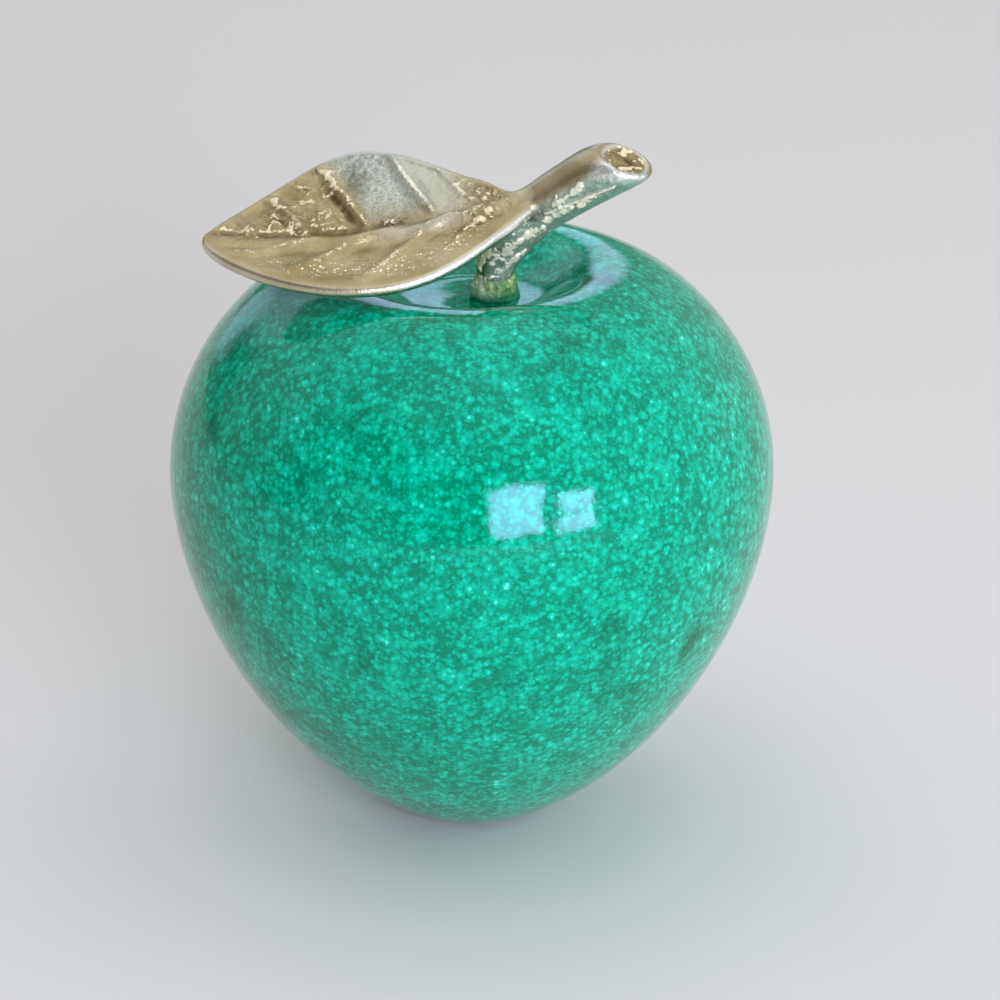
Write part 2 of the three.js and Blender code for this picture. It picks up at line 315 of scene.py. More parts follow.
STEM_LINE = np.array([stem_point(0, FOOT_Z),
                      stem_point(0, mix(FOOT_Z, ROOT_Z, BEND_SHARE)),
                      stem_point(STEM_REACH * RUN_SHARE, ROOT_Z + RUN_RISE),
                      stem_point(STEM_REACH, ROOT_Z + END_RISE)])
STEM_SIDE = np.cross(stem_point(1, 0) - np.array(stem_point(0, 0)), (0, 0, 1))  # towards the front
END_FACING = np.array([np.sin(END_LEAN) * np.cos(END_TURN),
                       np.sin(END_LEAN) * np.sin(END_TURN),
                       np.cos(END_LEAN)])
LEAF_ROOT = bezier(STEM_LINE, LEAF_JOIN_SHARE) - (0, ROOT_FORWARD, 0)
LEAF_ROOT[2] = ROOT_Z
# The midrib's guide points from root to tip, by shares of the leaf's length, swing and sag
MIDRIB = LEAF_ROOT + np.array([(0, 0, 0),
                               (-LEAF_LENGTH * 0.27, LEAF_SWING * 0.2, -LEAF_SAG * 0.32),
                               (-LEAF_LENGTH * 0.5, -LEAF_SWING * 0.58, -LEAF_SAG),
                               (-LEAF_LENGTH, -LEAF_SWING, -TIP_DROP)])


def stem_radius(share):
    """The stem's radius: foot to knee and knee to end, each by a smooth S."""
    knee = mix(FOOT_RADIUS, KNEE_RADIUS, ease(share, 0, KNEE_SHARE))
    return mix(knee, STEM_RADIUS, ease(share, KNEE_SHARE, 1))


def stem_frame(share):
    """The stem's middle, its direction, and the two directions square to it: up and to the front."""
    ahead = unit(bezier_slope(STEM_LINE, share))
    front = unit(np.broadcast_to(STEM_SIDE, ahead.shape))
    return bezier(STEM_LINE, share), ahead, np.cross(front, ahead), front


def stem_rings(share, radius, lift, around):
    """Rings round the stem's line, sheared from square at the foot to the plane of the cut end."""
    middle, ahead, up, front = (part[:, None, :] for part in stem_frame(share))
    angle = np.arange(around)[None, :, None] / around * TAU
    spoke = radius[:, None, None] * (up * np.cos(angle) + front * np.sin(angle))
    shear = ease(share, SLANT_START, SLANT_END)[:, None] / dot(ahead, END_FACING)
    slide = -dot(spoke, END_FACING) * shear
    return middle + lift[:, None, None] * END_FACING + spoke + ahead * slide[..., None]


def stem_shell():
    """From the pin's hole out under the foot, up the stem, over the soft lip and into the shallow hollow.

    The lip rounds over by a quarter of an ellipse, and falls to the hollow by a smooth S.
    """
    around = 96
    lip_start = 1 - LIP_ROUND / STEM_RUN
    run = np.linspace(0, lip_start, 90)
    turn = np.linspace(0, np.pi / 2, 14)[1:]
    fall = np.linspace(0, 1, 14)[1:]
    lip = STEM_RADIUS - LIP_WIDTH
    share = np.concatenate([run, mix(lip_start, 1, np.sin(turn)), np.ones(len(fall))])
    radius = np.concatenate([stem_radius(run),
                             mix(lip, STEM_RADIUS, np.cos(turn)),
                             lip - HOLLOW_FALL * fall])
    lift = np.concatenate([np.zeros(len(run) + len(turn)), -HOLLOW_DEPTH * ease(fall, 0, 1)])
    outside = stem_rings(share, radius, lift, around)
    hole = stem_rings(np.zeros(2), np.full(2, HOLE_RADIUS), np.zeros(2), around)
    hole[0, :, 2] = HOLE_TOP_Z
    end = bezier(STEM_LINE, 1) - HOLLOW_DEPTH * END_FACING
    return skin(np.concatenate([hole, outside]), (FOOT_X, 0, HOLE_TOP_Z), end)


def half_widths(along):
    """Half widths of the blade's front and back: a sine of the share along, raised to soft powers.

    The back is drawn in near the root by a round waist.
    """
    front = FRONT_WIDTH * np.clip(np.sin(np.pi * along ** FRONT_LEAD), 0, 1) ** FRONT_ROUND
    back = BACK_WIDTH * np.clip(np.sin(np.pi * along ** BACK_LEAD), 0, 1) ** BACK_ROUND
    return front, back * (1 - WAIST_SHARE * hump(along - WAIST_AT, WAIST_SPREAD))


def leaf_frame(along):
    """The midrib's point at that share, and the directions along, across to the back, and above it."""
    ahead = unit(bezier_slope(MIDRIB, along))
    across = unit(np.cross(ahead, (0, 0, 1)))
    return bezier(MIDRIB, along), ahead, across, np.cross(across, ahead)


def back_slope(along):
    """How steeply the back half rises: its curl is fullest half way along."""
    return BACK_SLOPE + BACK_CURL * np.sin(np.pi * along) ** 2


def across_blade(along, reach):
    """Distance from the midrib across the blade's own sloping surface, for a reach on the level."""
    return reach / np.cos(np.where(reach < 0, FRONT_SLOPE, back_slope(along)))


def leaf_fold(along, reach):
    """Height of the blade's middle above the midrib's frame at a reach across it, and its slope there.

    Two straight slopes, front and back, joined by a round fold: their mean times the reach, and half
    their difference times the reach's rounded size.
    """
    front, back = np.tan(FRONT_SLOPE), np.tan(back_slope(along))
    size = np.sqrt(reach ** 2 + CREASE_ROUND ** 2)
    half_sum, half_gap = (back + front) / 2, (back - front) / 2
    return half_sum * reach + half_gap * (size - CREASE_ROUND), half_sum + half_gap * reach / size


def leaf_shell():
    """Rings round the blade from root to tip: flat above and below, with half round edges."""
    along = np.linspace(0.005, 0.998, 200)[:, None]
    front, back = half_widths(along)
    edge = np.minimum(LEAF_THICKNESS / 2, np.minimum(front, back))
    flat = np.linspace(0, 1, 70)
    bend = np.linspace(0, np.pi, 14)[1:-1]
    flat_reach = mix(edge - front, back - edge, flat)
    wide = np.concatenate([flat_reach, back - edge + edge * np.sin(bend),
                           flat_reach[:, ::-1], edge - front - edge * np.sin(bend)], axis=1)
    thick = np.concatenate([edge * np.ones_like(flat), edge * np.cos(bend),
                            -edge * np.ones_like(flat), -edge * np.cos(bend)], axis=1)
    reach = wide * np.cos(np.where(wide < 0, FRONT_SLOPE, back_slope(along)))
    height, slope = leaf_fold(along, reach)
    lean = np.sqrt(1 + slope ** 2)
    middle, _, across, above = leaf_frame(along)
    rings = (middle + across * (reach - thick * slope / lean)[..., None]
             + above * (height + thick / lean)[..., None])
    return skin(rings, MIDRIB[0], MIDRIB[3])


def share_along(points, guides, start):
    """Share of a curve whose square plane holds each point: steps along it until none is left."""
    share = start
    for _ in range(8):
        slope = bezier_slope(guides, share)
        left = dot(points - bezier(guides, share), slope) / dot(slope, slope)
        share = np.clip(share + left, 0, 1)
    return share


def leaf_place(points):
    """Where points lie on the leaf: share along, reach across the midrib, height over its middle, and
    how far beyond its ends."""
    along = share_along(points, MIDRIB, np.clip((LEAF_ROOT[0] - points[:, 0]) / LEAF_LENGTH, 0, 1))
    middle, ahead, across, above = leaf_frame(along)
    reach = dot(points - middle, across)
    height, slope = leaf_fold(along, reach)
    over = (dot(points - middle, above) - height) / np.sqrt(1 + slope ** 2)
    beyond = dot(points - middle, ahead)
    return along, reach, over, beyond


def edge_gap(along, reach):
    """How far inside the blade's edge a reach lies."""
    front, back = half_widths(along)
    return np.where(reach < 0, front, back) - np.abs(across_blade(along, reach))


def stem_place(points):
    """Where points lie on the stem: share along it, height over its skin and angle from its top."""
    samples = np.linspace(0, 1, 40)
    gaps = np.linalg.norm(points[:, None] - bezier(STEM_LINE, samples), axis=-1)
    along = share_along(points, STEM_LINE, samples[gaps.argmin(axis=1)])
    middle, _, up, front = stem_frame(along)
    out = points - middle
    over = np.linalg.norm(out, axis=-1) - stem_radius(along)
    return along, over, np.arctan2(dot(out, front), dot(out, up))


def leaf_gap(along, reach, over, beyond):
    """Distance from the blade: to its middle surface and its edge's line, less half its thickness."""
    edge = np.minimum(LEAF_THICKNESS / 2, np.minimum(*half_widths(along)))
    past = np.maximum(edge - edge_gap(along, reach), 0)
    return np.sqrt(past ** 2 + over ** 2 + beyond ** 2) - edge


def joined_gap(points):
    """Distance from leaf and stem together, with a fillet where both are near.

    The fillet is widest deep under the leaf, and small over it and along its edges.
    """
    along, reach, over, beyond = leaf_place(points)
    leaf = leaf_gap(along, reach, over, beyond)
    stem = stem_place(points)[1]
    under = mix(EDGE_FILLET, UNDER_FILLET, ease(edge_gap(along, reach), 0.5 * MM, 4 * MM))
    fillet = mix(under, TOP_FILLET, ease(over, -0.5 * MM, 0.8 * MM))
    near = np.clip(1 - np.abs(leaf - stem) / fillet, 0, 1)
    return np.minimum(leaf, stem) - near ** 2 * fillet / 4


def fill_join(points):
    """Move points that lie near both leaf and stem out to the fillet, down the distance's slope."""
    apart = np.maximum(leaf_gap(*leaf_place(points)), stem_place(points)[1])
    near = (apart < UNDER_FILLET) & (points[:, 2] > HOLE_TOP_Z + HOLE_ROOF)
    moved = points[near]
    probe, step_share, least_slope = 0.02 * MM, 0.8, 0.1
    for _ in range(6):
        gap = joined_gap(moved)
        steps = [joined_gap(moved + probe * axis) - gap for axis in np.eye(3)]
        slope = np.stack(steps, axis=-1) / probe
        steep = np.maximum(dot(slope, slope), least_slope)
        moved = moved - step_share * gap[:, None] * slope / steep[:, None]
    fade = ease(apart[near], 0.5 * UNDER_FILLET, UNDER_FILLET)
    points = points.copy()
    points[near] = mix(moved, points[near], fade[:, None])
    return points


# Cast pattern on the leaf: the midrib's line, and where the plain rim starts and ends its fall to the
# sunken inside
SPINE_SIDE = -0.18  # of the front half's width
SPINE_WIDTH, SPINE_HEIGHT = 0.95 * MM, 0.42 * MM
BACK_GROOVE_DEPTH, FRONT_GROOVE_DEPTH = 0.24 * MM, 0.08 * MM  # beside the midrib
FRONT_RIM, BACK_RIM = (0.5 * MM, 3.4 * MM), (0.4 * MM, 1.9 * MM)
INSIDE_DEPTH, BORDER_HEIGHT = 0.26 * MM, 0.10 * MM

# Side veins, from tip to root: share along where each leaves the midrib and where it ends, the side that
# it ends at, how it bends away, the ridge's half width and height and the ditch's depth in mm, the ditch's
# side (-1 for less of a side, 1 for more), and the depth in mm of the bowl towards the next vein
Vein = namedtuple("Vein", "start end side bend width height ditch ditch_side bowl")
BACK_VEINS = (
    Vein(0.880, 0.935, 0.75, 1.0, 0.50, 0.34, 0.20, -1, 0.10),
    Vein(0.760, 0.870, 0.90, 1.0, 0.55, 0.42, 0.28, -1, 0.16),
    Vein(0.600, 0.730, 0.95, 1.0, 0.70, 0.24, 0.40, -1, 0.46),
    Vein(0.390, 0.520, 0.95, 1.0, 0.85, 0.46, 0.18, 1, 0.16),
    Vein(0.230, 0.370, 0.90, 1.0, 0.60, 0.12, 0.06, 1, 0.0),
)
FRONT_VEINS = (
    Vein(0.720, 0.950, -0.60, 1.4, 0.60, 0.24, 0.05, -1, 0.12),
    Vein(0.520, 0.850, -0.92, 2.0, 0.85, 0.40, 0.05, -1, 0.16),
    Vein(0.320, 0.670, -0.92, 1.6, 0.90, 0.40, 0.05, -1, 0.14),
    Vein(0.140, 0.400, -0.70, 1.1, 0.60, 0.20, 0.04, -1, 0.0),
)
DITCH_WIDTH = 0.5  # half width in mm


def leaf_sides(along, reach):
    """Distance across the blade's own surface, the same as a share of the half's width, and that width."""
    front, back = half_widths(along)
    wide = across_blade(along, reach)
    half = np.maximum(np.where(reach < 0, front, back), 0.5 * MM)
    return wide, wide / half, half


def vein_gap(vein, along, side, half):
    """Distance from a vein's line, positive for more of a side.

    The line's side grows from the midrib's to its end's by a power of the share run.
    """
    length = vein.end - vein.start
    run = np.clip((along - vein.start) / length, 0.001, 1)
    first = SPINE_SIDE / 2
    line = mix(first, vein.side, run ** vein.bend)
    lean = (vein.side - first) * vein.bend * run ** (vein.bend - 1) / length * half / LEAF_LENGTH
    return (side - line) * half / np.sqrt(1 + lean ** 2)


def vein_relief(veins, along, side, half):
    """Height of the round ridges and soft ditches, depth of the bowls between them, and their crests."""
    total, bowls, crests = 0, 0, 0
    clear = ease(np.abs(side - SPINE_SIDE / 2) * half, 0.5 * MM, 3 * MM)
    for i, vein in enumerate(veins):
        gap = vein_gap(vein, along, side, half)
        shown = between(along, vein.start - 0.02, vein.start + 0.03, vein.end - 0.01, vein.end + 0.03)
        ridge = vein.height * hump(gap, vein.width * MM)
        ditch_at = vein.ditch_side * (vein.width + DITCH_WIDTH) * 0.85 * MM
        ditch = vein.ditch * hump(gap - ditch_at, DITCH_WIDTH * MM) * clear
        ditch = ditch * mix(1, 0.3, ease(np.abs(side), 0.40, 0.75))
        total = total + shown * (ridge - ditch) * MM
        crests = np.maximum(crests, shown * hump(gap, 0.8 * vein.width * MM))
        if vein.bowl:
            outward = np.sign(vein.side)
            tipward = np.maximum(outward * gap, 0)
            rootward = np.maximum(-outward * vein_gap(veins[i + 1], along, side, half), 0)
            bowl = 4 * tipward * rootward / np.maximum((tipward + rootward) ** 2, (0.1 * MM) ** 2)
            bowls = bowls + vein.bowl * MM * bowl * clear * ease(tipward + rootward, 1 * MM, 5 * MM)
    return np.stack([total, bowls, crests])


# Where the mould's face had broken up: share along, side, spread along, spread across, strength
Patch = namedtuple("Patch", "along side length breadth strength")
SHATTERED = (
    Patch(0.770, 0.14, 0.035, 0.20, 1.0),
    Patch(0.540, -0.02, 0.050, 0.10, 0.8),
    Patch(0.860, 0.30, 0.040, 0.30, 0.5),
    Patch(0.220, 0.15, 0.080, 0.45, 0.7),
    Patch(0.910, -0.10, 0.040, 0.15, 0.6),
    Patch(0.280, -0.42, 0.090, 0.10, 1.0),
    Patch(0.160, 0.55, 0.080, 0.30, 0.9),
)
PAINTED_SHADE_PATCH = Patch(0.635, 0.62, 0.035, 0.35, 0.3)  # painted shade on the tip side of the grey panel, by the ditch
NET_SIZE, CHIP_SIZE, DROP_SPACING = 2.2 * MM, 0.95 * MM, 0.70 * MM
NET_HEIGHT, CHIP_HEIGHT, DROP_HEIGHT, SHATTER_DEPTH = 0.20 * MM, 0.28 * MM, 0.14 * MM, 0.10 * MM


def oval(patch, along, side):
    """Soft oval patch of the blade: a bell curve along times one across."""
    spot = hump(along - patch.along, patch.length) * hump(side - patch.side, patch.breadth)
    return patch.strength * spot


def spine_relief(along, spine):
    """Height of the midrib's round ridge, which sinks towards the tip, less the grooves on both sides."""
    ridge = SPINE_HEIGHT * mix(1, 0.6, ease(along, 0.5, 1)) * hump(spine, SPINE_WIDTH)
    groove = BACK_GROOVE_DEPTH * hump(spine - 1.6 * MM, 0.75 * MM) * ease(along, 0.42, 0.60)
    return ridge - (groove + FRONT_GROOVE_DEPTH * hump(spine + 1.7 * MM, 0.7 * MM))


def worn_gold_and_painted_highlight(points, along, side, half, spine, behind):
    """Where the gold is off, each from 0 to 1: the grey panel and all bare skin, and the bright bar, a
    painted highlight.

    The panel lies between two back veins, and the bar, painted bright as a highlight, on the crest at its
    right. The skin right of the panel and along the middle of the midrib is bare in part.
    """
    left_gap = vein_gap(BACK_VEINS[2], along, side, half)
    right_gap = vein_gap(BACK_VEINS[3], along, side, half)
    past_panel = ease(right_gap, -0.2 * MM, 1.2 * MM)
    panel = ease(left_gap, -0.3 * MM, 2.4 * MM) * (1 - past_panel) * behind
    bare = np.clip(panel + 0.7 * behind * past_panel * ease(along, 0.20, 0.40), 0, 1)
    bare = np.maximum(bare, 0.4 * hump(spine, 1.3 * MM) * between(along, 0.2, 0.4, 0.52, 0.66))
    # Painted highlight: the bar along the crest right of the panel
    bar = hump(right_gap - 0.1 * MM, 0.75 * MM) * between(side, 0.1, 0.35, 0.66, 0.88)
    bar = bar * between(along, 0.36, 0.44, 0.49, 0.54) * mix(0.7, 1.0, lumps(points, 0.8 * MM, 17))
    return panel, bare, bar


def mould_marks(points, along, side, behind):
    """The mould's marks, each from 0 to 1: a net of fine ridges, chips, where its face broke up, and grains.

    Net and chips are walls between random cells, on points that are pushed about so that they squiggle.
    """
    shatter = np.clip(sum(oval(patch, along, side) for patch in SHATTERED), 0, 1)
    netted = behind * ease(along, 0.62, 0.72) + ease(0.40 - along, 0, 0.12) * ease(side, -0.7, -0.3)
    squiggled = wiggle(points, 0.9 * MM, 1.0 * MM, 64)
    net = walls(squiggled, NET_SIZE, 61) * np.clip(netted, 0, 1)
    chips = ease(walls(squiggled, CHIP_SIZE, 71), 0.15, 0.6) * shatter
    sprinkle = between(-side, 0.40, 0.66, 0.90, 0.97) * between(along, 0.15, 0.35, 0.84, 0.93)
    return net, chips, shatter, sprinkle * ease(lumps(points, 2.0 * MM, 14), 0.10, 0.35)


def buffed_edge_and_painted_highlight(along, side, edge):
    """How brightly the front rim and the tip are buffed, the rim also with a painted highlight: full at the
    edge, fading inwards by a smooth S.
    """
    rim = ease(-side, 0.1, 0.3) * (1 - ease(edge, 0.1 * MM, 0.6 * MM)) * ease(along, 0.02, 0.09)
    rim = 0.8 * rim * mix(1, 0.3, ease(along, 0.40, 0.64))
    tip = 0.6 * (1 - ease(edge, 0.2 * MM, 0.8 * MM)) * ease(along, 0.93, 0.98)
    return np.maximum(rim, tip)


def leaf_relief(points, along, reach, over):
    """The cast pattern on the blade's top: its height, the inside's depth, and maps from 0 to 1.

    A plain rim, a sunken inside, the midrib, the veins, and the lumpy skin and marks of the mould. The
    maps say how rough the skin is, how bare of gold, how frosted (on crests and the bar also a painted
    highlight), how sprinkled with grains, how buffed and painted with highlight, and where painted shade
    darkens it.
    """
    top = ease(over, 0.1 * LEAF_THICKNESS, 0.4 * LEAF_THICKNESS)
    wide, side, half = leaf_sides(along, reach)
    edge = edge_gap(along, reach)
    inside = top * np.where(reach < 0, ease(edge, *FRONT_RIM), ease(edge, *BACK_RIM))
    spine = wide - SPINE_SIDE * half_widths(along)[0] * ease(along, 0.02, 0.2)
    behind = ease(spine, 0.4 * MM, 1.6 * MM)
    veins, bowls, crests = np.where(side > SPINE_SIDE / 2, vein_relief(BACK_VEINS, along, side, half),
                                    vein_relief(FRONT_VEINS, along, side, half))
    panel, bare, bar = worn_gold_and_painted_highlight(points, along, side, half, spine, behind)
    net, chips, shatter, sprinkle = mould_marks(points, along, side, behind)

    fine = mix(0.07, 0.17, np.maximum(panel, shatter)) * swells(points, 0.45 * MM, 12)
    pillow = mix(0.08, 0.14, behind) * swells(points, 2.6 * MM, 13)
    marks = NET_HEIGHT * net + CHIP_HEIGHT * chips - SHATTER_DEPTH * shatter + (fine + pillow) * MM
    drops = DROP_HEIGHT * sprinkle * beads(points, DROP_SPACING, 0.45, 21)
    border = BORDER_HEIGHT * between(edge, 0, 0.5 * MM, 0.7 * MM, 1.9 * MM) * ease(side, 0, 0.2)
    height = inside * (spine_relief(along, spine) + veins + marks + drops) + top * border
    sunk = inside * (INSIDE_DEPTH * mix(0.4, 1, behind) + bowls)

    # Pale frost on net and chips, and on crests and the bright bar, where it also paints their highlights
    spine_edge = hump(spine - 2.4 * MM, 0.35 * MM) * ease(along, 0.62, 0.70)
    worn = mix(0.45, 1.0, ease(lumps(points, 1.3 * MM, 16), 0.30, 0.60))
    frost_and_painted_highlight = np.clip(0.85 * chips + 0.65 * net + 0.62 * worn * np.maximum(crests, spine_edge), 0, 1)
    frost_and_painted_highlight = np.maximum(frost_and_painted_highlight * ease(lumps(points, 0.5 * MM, 15), 0.22, 0.55), 0.75 * bar)
    # Painted highlights on the buffed rim and the bar, and painted shade on a patch beside the grey panel
    maps = {"rough": np.clip(0.35 + shatter + panel, 0, 1) * inside, "bare": top * bare,
            "frost_and_painted_highlight": inside * frost_and_painted_highlight, "sprinkle": inside * sprinkle,
            "buffed_and_painted_highlight": np.maximum(buffed_edge_and_painted_highlight(along, side, edge), top * bar),
            # Painted shade: a dark patch on the tip side of the grey panel
            "patina_and_painted_shade": top * oval(PAINTED_SHADE_PATCH, along, side)}
    return height, sunk, maps


# Ragged flakes along the stem, from end towards foot: share along and angle from its top in degrees at
# both ends, and half width in mm. The thread is a fine seam of metal where the mould's halves met.
Flake = namedtuple("Flake", "start start_angle end end_angle half_width")
FLAKES = (
    Flake(0.67, 100, 0.82, 92, 0.40),
    Flake(0.58, 121, 0.84, 127, 0.36),
    Flake(0.30, 106, 0.54, 132, 0.46),
    Flake(0.17, 88, 0.30, 116, 0.36),
    Flake(0.12, 52, 0.22, 80, 0.60),
    Flake(0.08, 98, 0.20, 132, 0.42),
    Flake(0.15, 126, 0.34, 150, 0.34),
)
THREAD = Flake(0.60, 106, 0.94, 127, 0.17)
THREAD_DITCH = Flake(0.60, 115, 0.94, 134, 0.20)
# Angles in degrees from the stem's top: the painted highlight streak, the lip's painted highlight, the dent
STREAK_ANGLE, LIP_ANGLE, DENT_ANGLE = 68, 80, 95
FLAKE_HEIGHT, CRUMB_HEIGHT, THREAD_HEIGHT = 0.22 * MM, 0.15 * MM, 0.24 * MM
THREAD_DITCH_DEPTH, DENT_DEPTH, CRUMB_SPACING = 0.14 * MM, 0.28 * MM, 0.75 * MM
RELIEF_RANGE = 0.8 * MM  # between the darkest hollow and the clearest crest


def strip(flake, along, degrees, ragged):
    """Ragged strip of the stem: 1 within its half width of a line, with an edge that wanders by ragged mm."""
    run = np.clip((along - flake.start) / (flake.end - flake.start), 0, 1)
    off = np.radians(degrees - mix(flake.start_angle, flake.end_angle, run)) * stem_radius(along)
    past = (along - mix(flake.start, flake.end, run)) * STEM_RUN
    gap = np.hypot(off, past) / MM
    return 1 - ease(gap + ragged, flake.half_width - 0.12, flake.half_width + 0.12)


def stem_relief(points, along, angle):
    """Height of the stem's cast marks, and its maps of rough, bare and frosted skin and of painted highlight.

    The top stays smooth and gold, with a faint painted highlight. Below a painted highlight streak the front
    and underside are bare and lumpy, with ragged flakes, clusters of crumbs, and the mould's thread with a
    fine ditch under it. A tarnished dent without highlight marks where the leaf's rim runs out on the stem.
    """
    degrees = np.degrees(angle)
    near_end = ease(along, 0.85, 0.95)
    below = between(degrees, mix(72, 50, near_end), mix(92, 80, near_end), 165, 180)
    ragged = 0.75 * swells(points, 0.4 * MM, 31) + 0.7 * swells(points, 1.1 * MM, 32)
    flakes = np.max([strip(flake, along, degrees, ragged) for flake in FLAKES], axis=0)
    thread = strip(THREAD, along, degrees, 0)
    ditch = strip(THREAD_DITCH, along, degrees, 0)
    crumbled = hump(along - 0.46, 0.16) * hump(degrees - 86, 15)
    crumbled = crumbled + hump(along - 0.18, 0.10) * hump(degrees - 80, 55)
    crumbs = ease(beads(points, CRUMB_SPACING, 0.6, 36), 0.2, 0.6) * ease(crumbled, 0.25, 0.6)
    dent = hump(along - 0.56, 0.05) * hump(degrees - DENT_ANGLE, 18)
    lumpy = below * (0.12 * swells(points, 0.45 * MM, 33) + 0.18 * swells(points, 1.7 * MM, 34)) * MM
    raised = FLAKE_HEIGHT * flakes + CRUMB_HEIGHT * crumbs + THREAD_HEIGHT * thread
    height = lumpy + raised - THREAD_DITCH_DEPTH * ditch - DENT_DEPTH * dent
    specks = 0.5 * below * ease(lumps(points, 0.55 * MM, 38), 0.48, 0.66) * (1 - ease(along, 0.55, 0.75))
    pale = flakes * mix(0.3, 1.2, lumps(points, 0.5 * MM, 35)) + specks + 0.6 * crumbs + 0.9 * thread
    # Painted highlights: a streak along the upper front, a band on the lip's front, and a faint one over the
    # top
    streak = 0.4 * hump(degrees - STREAK_ANGLE, 6) * between(along, 0.08, 0.2, 0.56, 0.74)
    lip = 0.9 * hump(degrees - LIP_ANGLE, 22) * ease(along, 0.86, 0.94)
    maps = {"rough": np.clip(0.2 + 0.5 * below + 0.3 * flakes + dent, 0, 1), "bare": below,
            "frost_and_painted_highlight": np.clip(pale, 0, 1) * (1 - 0.7 * dent),
            "buffed_and_painted_highlight": np.max([streak, lip, 0.12 * (1 - below)], axis=0) * (1 - dent)}
    return height, maps


def end_relief(points, height, maps):
    """The stem's height and maps with those of its cut end added.

    The end is a hollow of lumps, a little darker, with pale flecks round its floor and a painted highlight on
    its lip.
    """
    out = points - bezier(STEM_LINE, 1)
    rise = dot(out, END_FACING)
    across = np.linalg.norm(out - rise[:, None] * END_FACING, axis=-1)
    hollow = (1 - ease(across, 2.3 * MM, 2.85 * MM)) * ease(rise, -1.7 * MM, -1.2 * MM)
    broken = 0.4 * swells(points, 1.1 * MM, 41) + 0.3 * swells(points, 0.45 * MM, 42)
    flecks = hollow * ease(lumps(points, 0.6 * MM, 43), 0.52, 0.66) * ease(across, 0.7 * MM, 1.3 * MM)
    # Painted highlight: a thin bright ring along the lip's crest
    ring = 0.8 * hump(across - STEM_RADIUS + LIP_WIDTH, 0.28 * MM) * ease(rise, -0.7 * MM, -0.3 * MM)
    plain = 1 - hollow
    # The hollow is made a little darker
    maps = {"rough": np.maximum(maps["rough"], hollow), "bare": plain * maps["bare"],
            "frost_and_painted_highlight": np.maximum(plain * maps["frost_and_painted_highlight"], 0.9 * flecks),
            "buffed_and_painted_highlight": np.maximum(plain * maps["buffed_and_painted_highlight"], ring), "patina_and_painted_shade": 0.08 * hollow}
    return height + hollow * (broken + 0.12 * flecks) * MM, maps


def one_skin(mesh):
    """One closed skin round all that the mesh's shells hold: rebuilt on small voxels, then smoothed."""
    draft = add_object("leaf_and_stem_draft", mesh)
    joined = draft.modifiers.new("join", "REMESH")
    joined.mode = "VOXEL"
    joined.voxel_size = VOXEL
    joined.use_smooth_shade = True
    even = draft.modifiers.new("even", "SMOOTH")
    even.factor = 0.5
    even.iterations = 3
    skinned = bpy.data.meshes.new_from_object(draft.evaluated_get(bpy.context.evaluated_depsgraph_get()))
    bpy.data.objects.remove(draft)
    return skinned


def vectors(rows, name):
    """A mesh's points or normals as rows of three numbers."""
    values = np.empty(len(rows) * 3)
    rows.foreach_get(name, values)
    return values.reshape(-1, 3)


def leaf_and_stem_skin():
    """Both shells joined into one skin and filleted, twice over, so that the fillet closes cleanly."""
    stem_points, stem_faces = stem_shell()
    leaf_points, leaf_faces = leaf_shell()
    offset = len(stem_points)
    faces = stem_faces + [[corner + offset for corner in face] for face in leaf_faces]
    mesh = one_skin(new_mesh("leaf_and_stem_shells", np.vstack([stem_points, leaf_points]), faces))
    for _ in range(2):
        mesh.vertices.foreach_set("co", fill_join(vectors(mesh.vertices, "co")).ravel())
        mesh = one_skin(mesh)
    mesh.name = "cast_leaf_and_stem"
    return mesh


def casting():
    """Leaf and stem as one casting, raised by the relief.

    The relief moves each point along its normal by the leaf's pattern or the stem's, by which is nearer.
    The foot's underside and the pin's hole stay as they are.
    """
    mesh = leaf_and_stem_skin()
    points = vectors(mesh.vertices, "co")
    normals = vectors(mesh.vertex_normals, "vector")
    along, reach, over, beyond = leaf_place(points)
    leaf_height, leaf_sunk, leaf = leaf_relief(points, along, reach, over)
    stem_along, off_stem, angle = stem_place(points)
    stem_height, stem = end_relief(points, *stem_relief(points, stem_along, angle))

    off_leaf = np.maximum(leaf_gap(along, reach, over, beyond), 0)
    on_leaf = ease(off_stem - off_leaf, 0.1 * MM, 1.2 * MM)
    on_leaf = on_leaf * mix(ease(off_stem, 1.2 * MM, 3.2 * MM), 1, ease(over, -0.3 * MM, 0.2 * MM))
    height = mix(stem_height, leaf_height, on_leaf)
    maps = {name: mix(stem.get(name, 0), leaf[name], on_leaf) for name in leaf}
    # Patina from the relief's height, darkened further by painted shade
    maps["raised"] = np.clip(0.5 + height / RELIEF_RANGE - maps.pop("patina_and_painted_shade"), 0, 1)

    clear = ease(points[:, 2], FOOT_Z + 0.2 * MM, FOOT_Z + 0.8 * MM)
    hole = np.linalg.norm(points[:, :2] - (FOOT_X, 0), axis=-1) < HOLE_RADIUS + 0.3 * MM
    clear = clear * ~(hole & (points[:, 2] < HOLE_TOP_Z + 0.3 * MM))
    points = points + ((height - on_leaf * leaf_sunk) * clear)[:, None] * normals
    mesh.vertices.foreach_set("co", points.ravel())
    for name, values in maps.items():
        mesh.attributes.new(name, "FLOAT", "POINT").data.foreach_set("value", values)
    mesh.update()
    return mesh


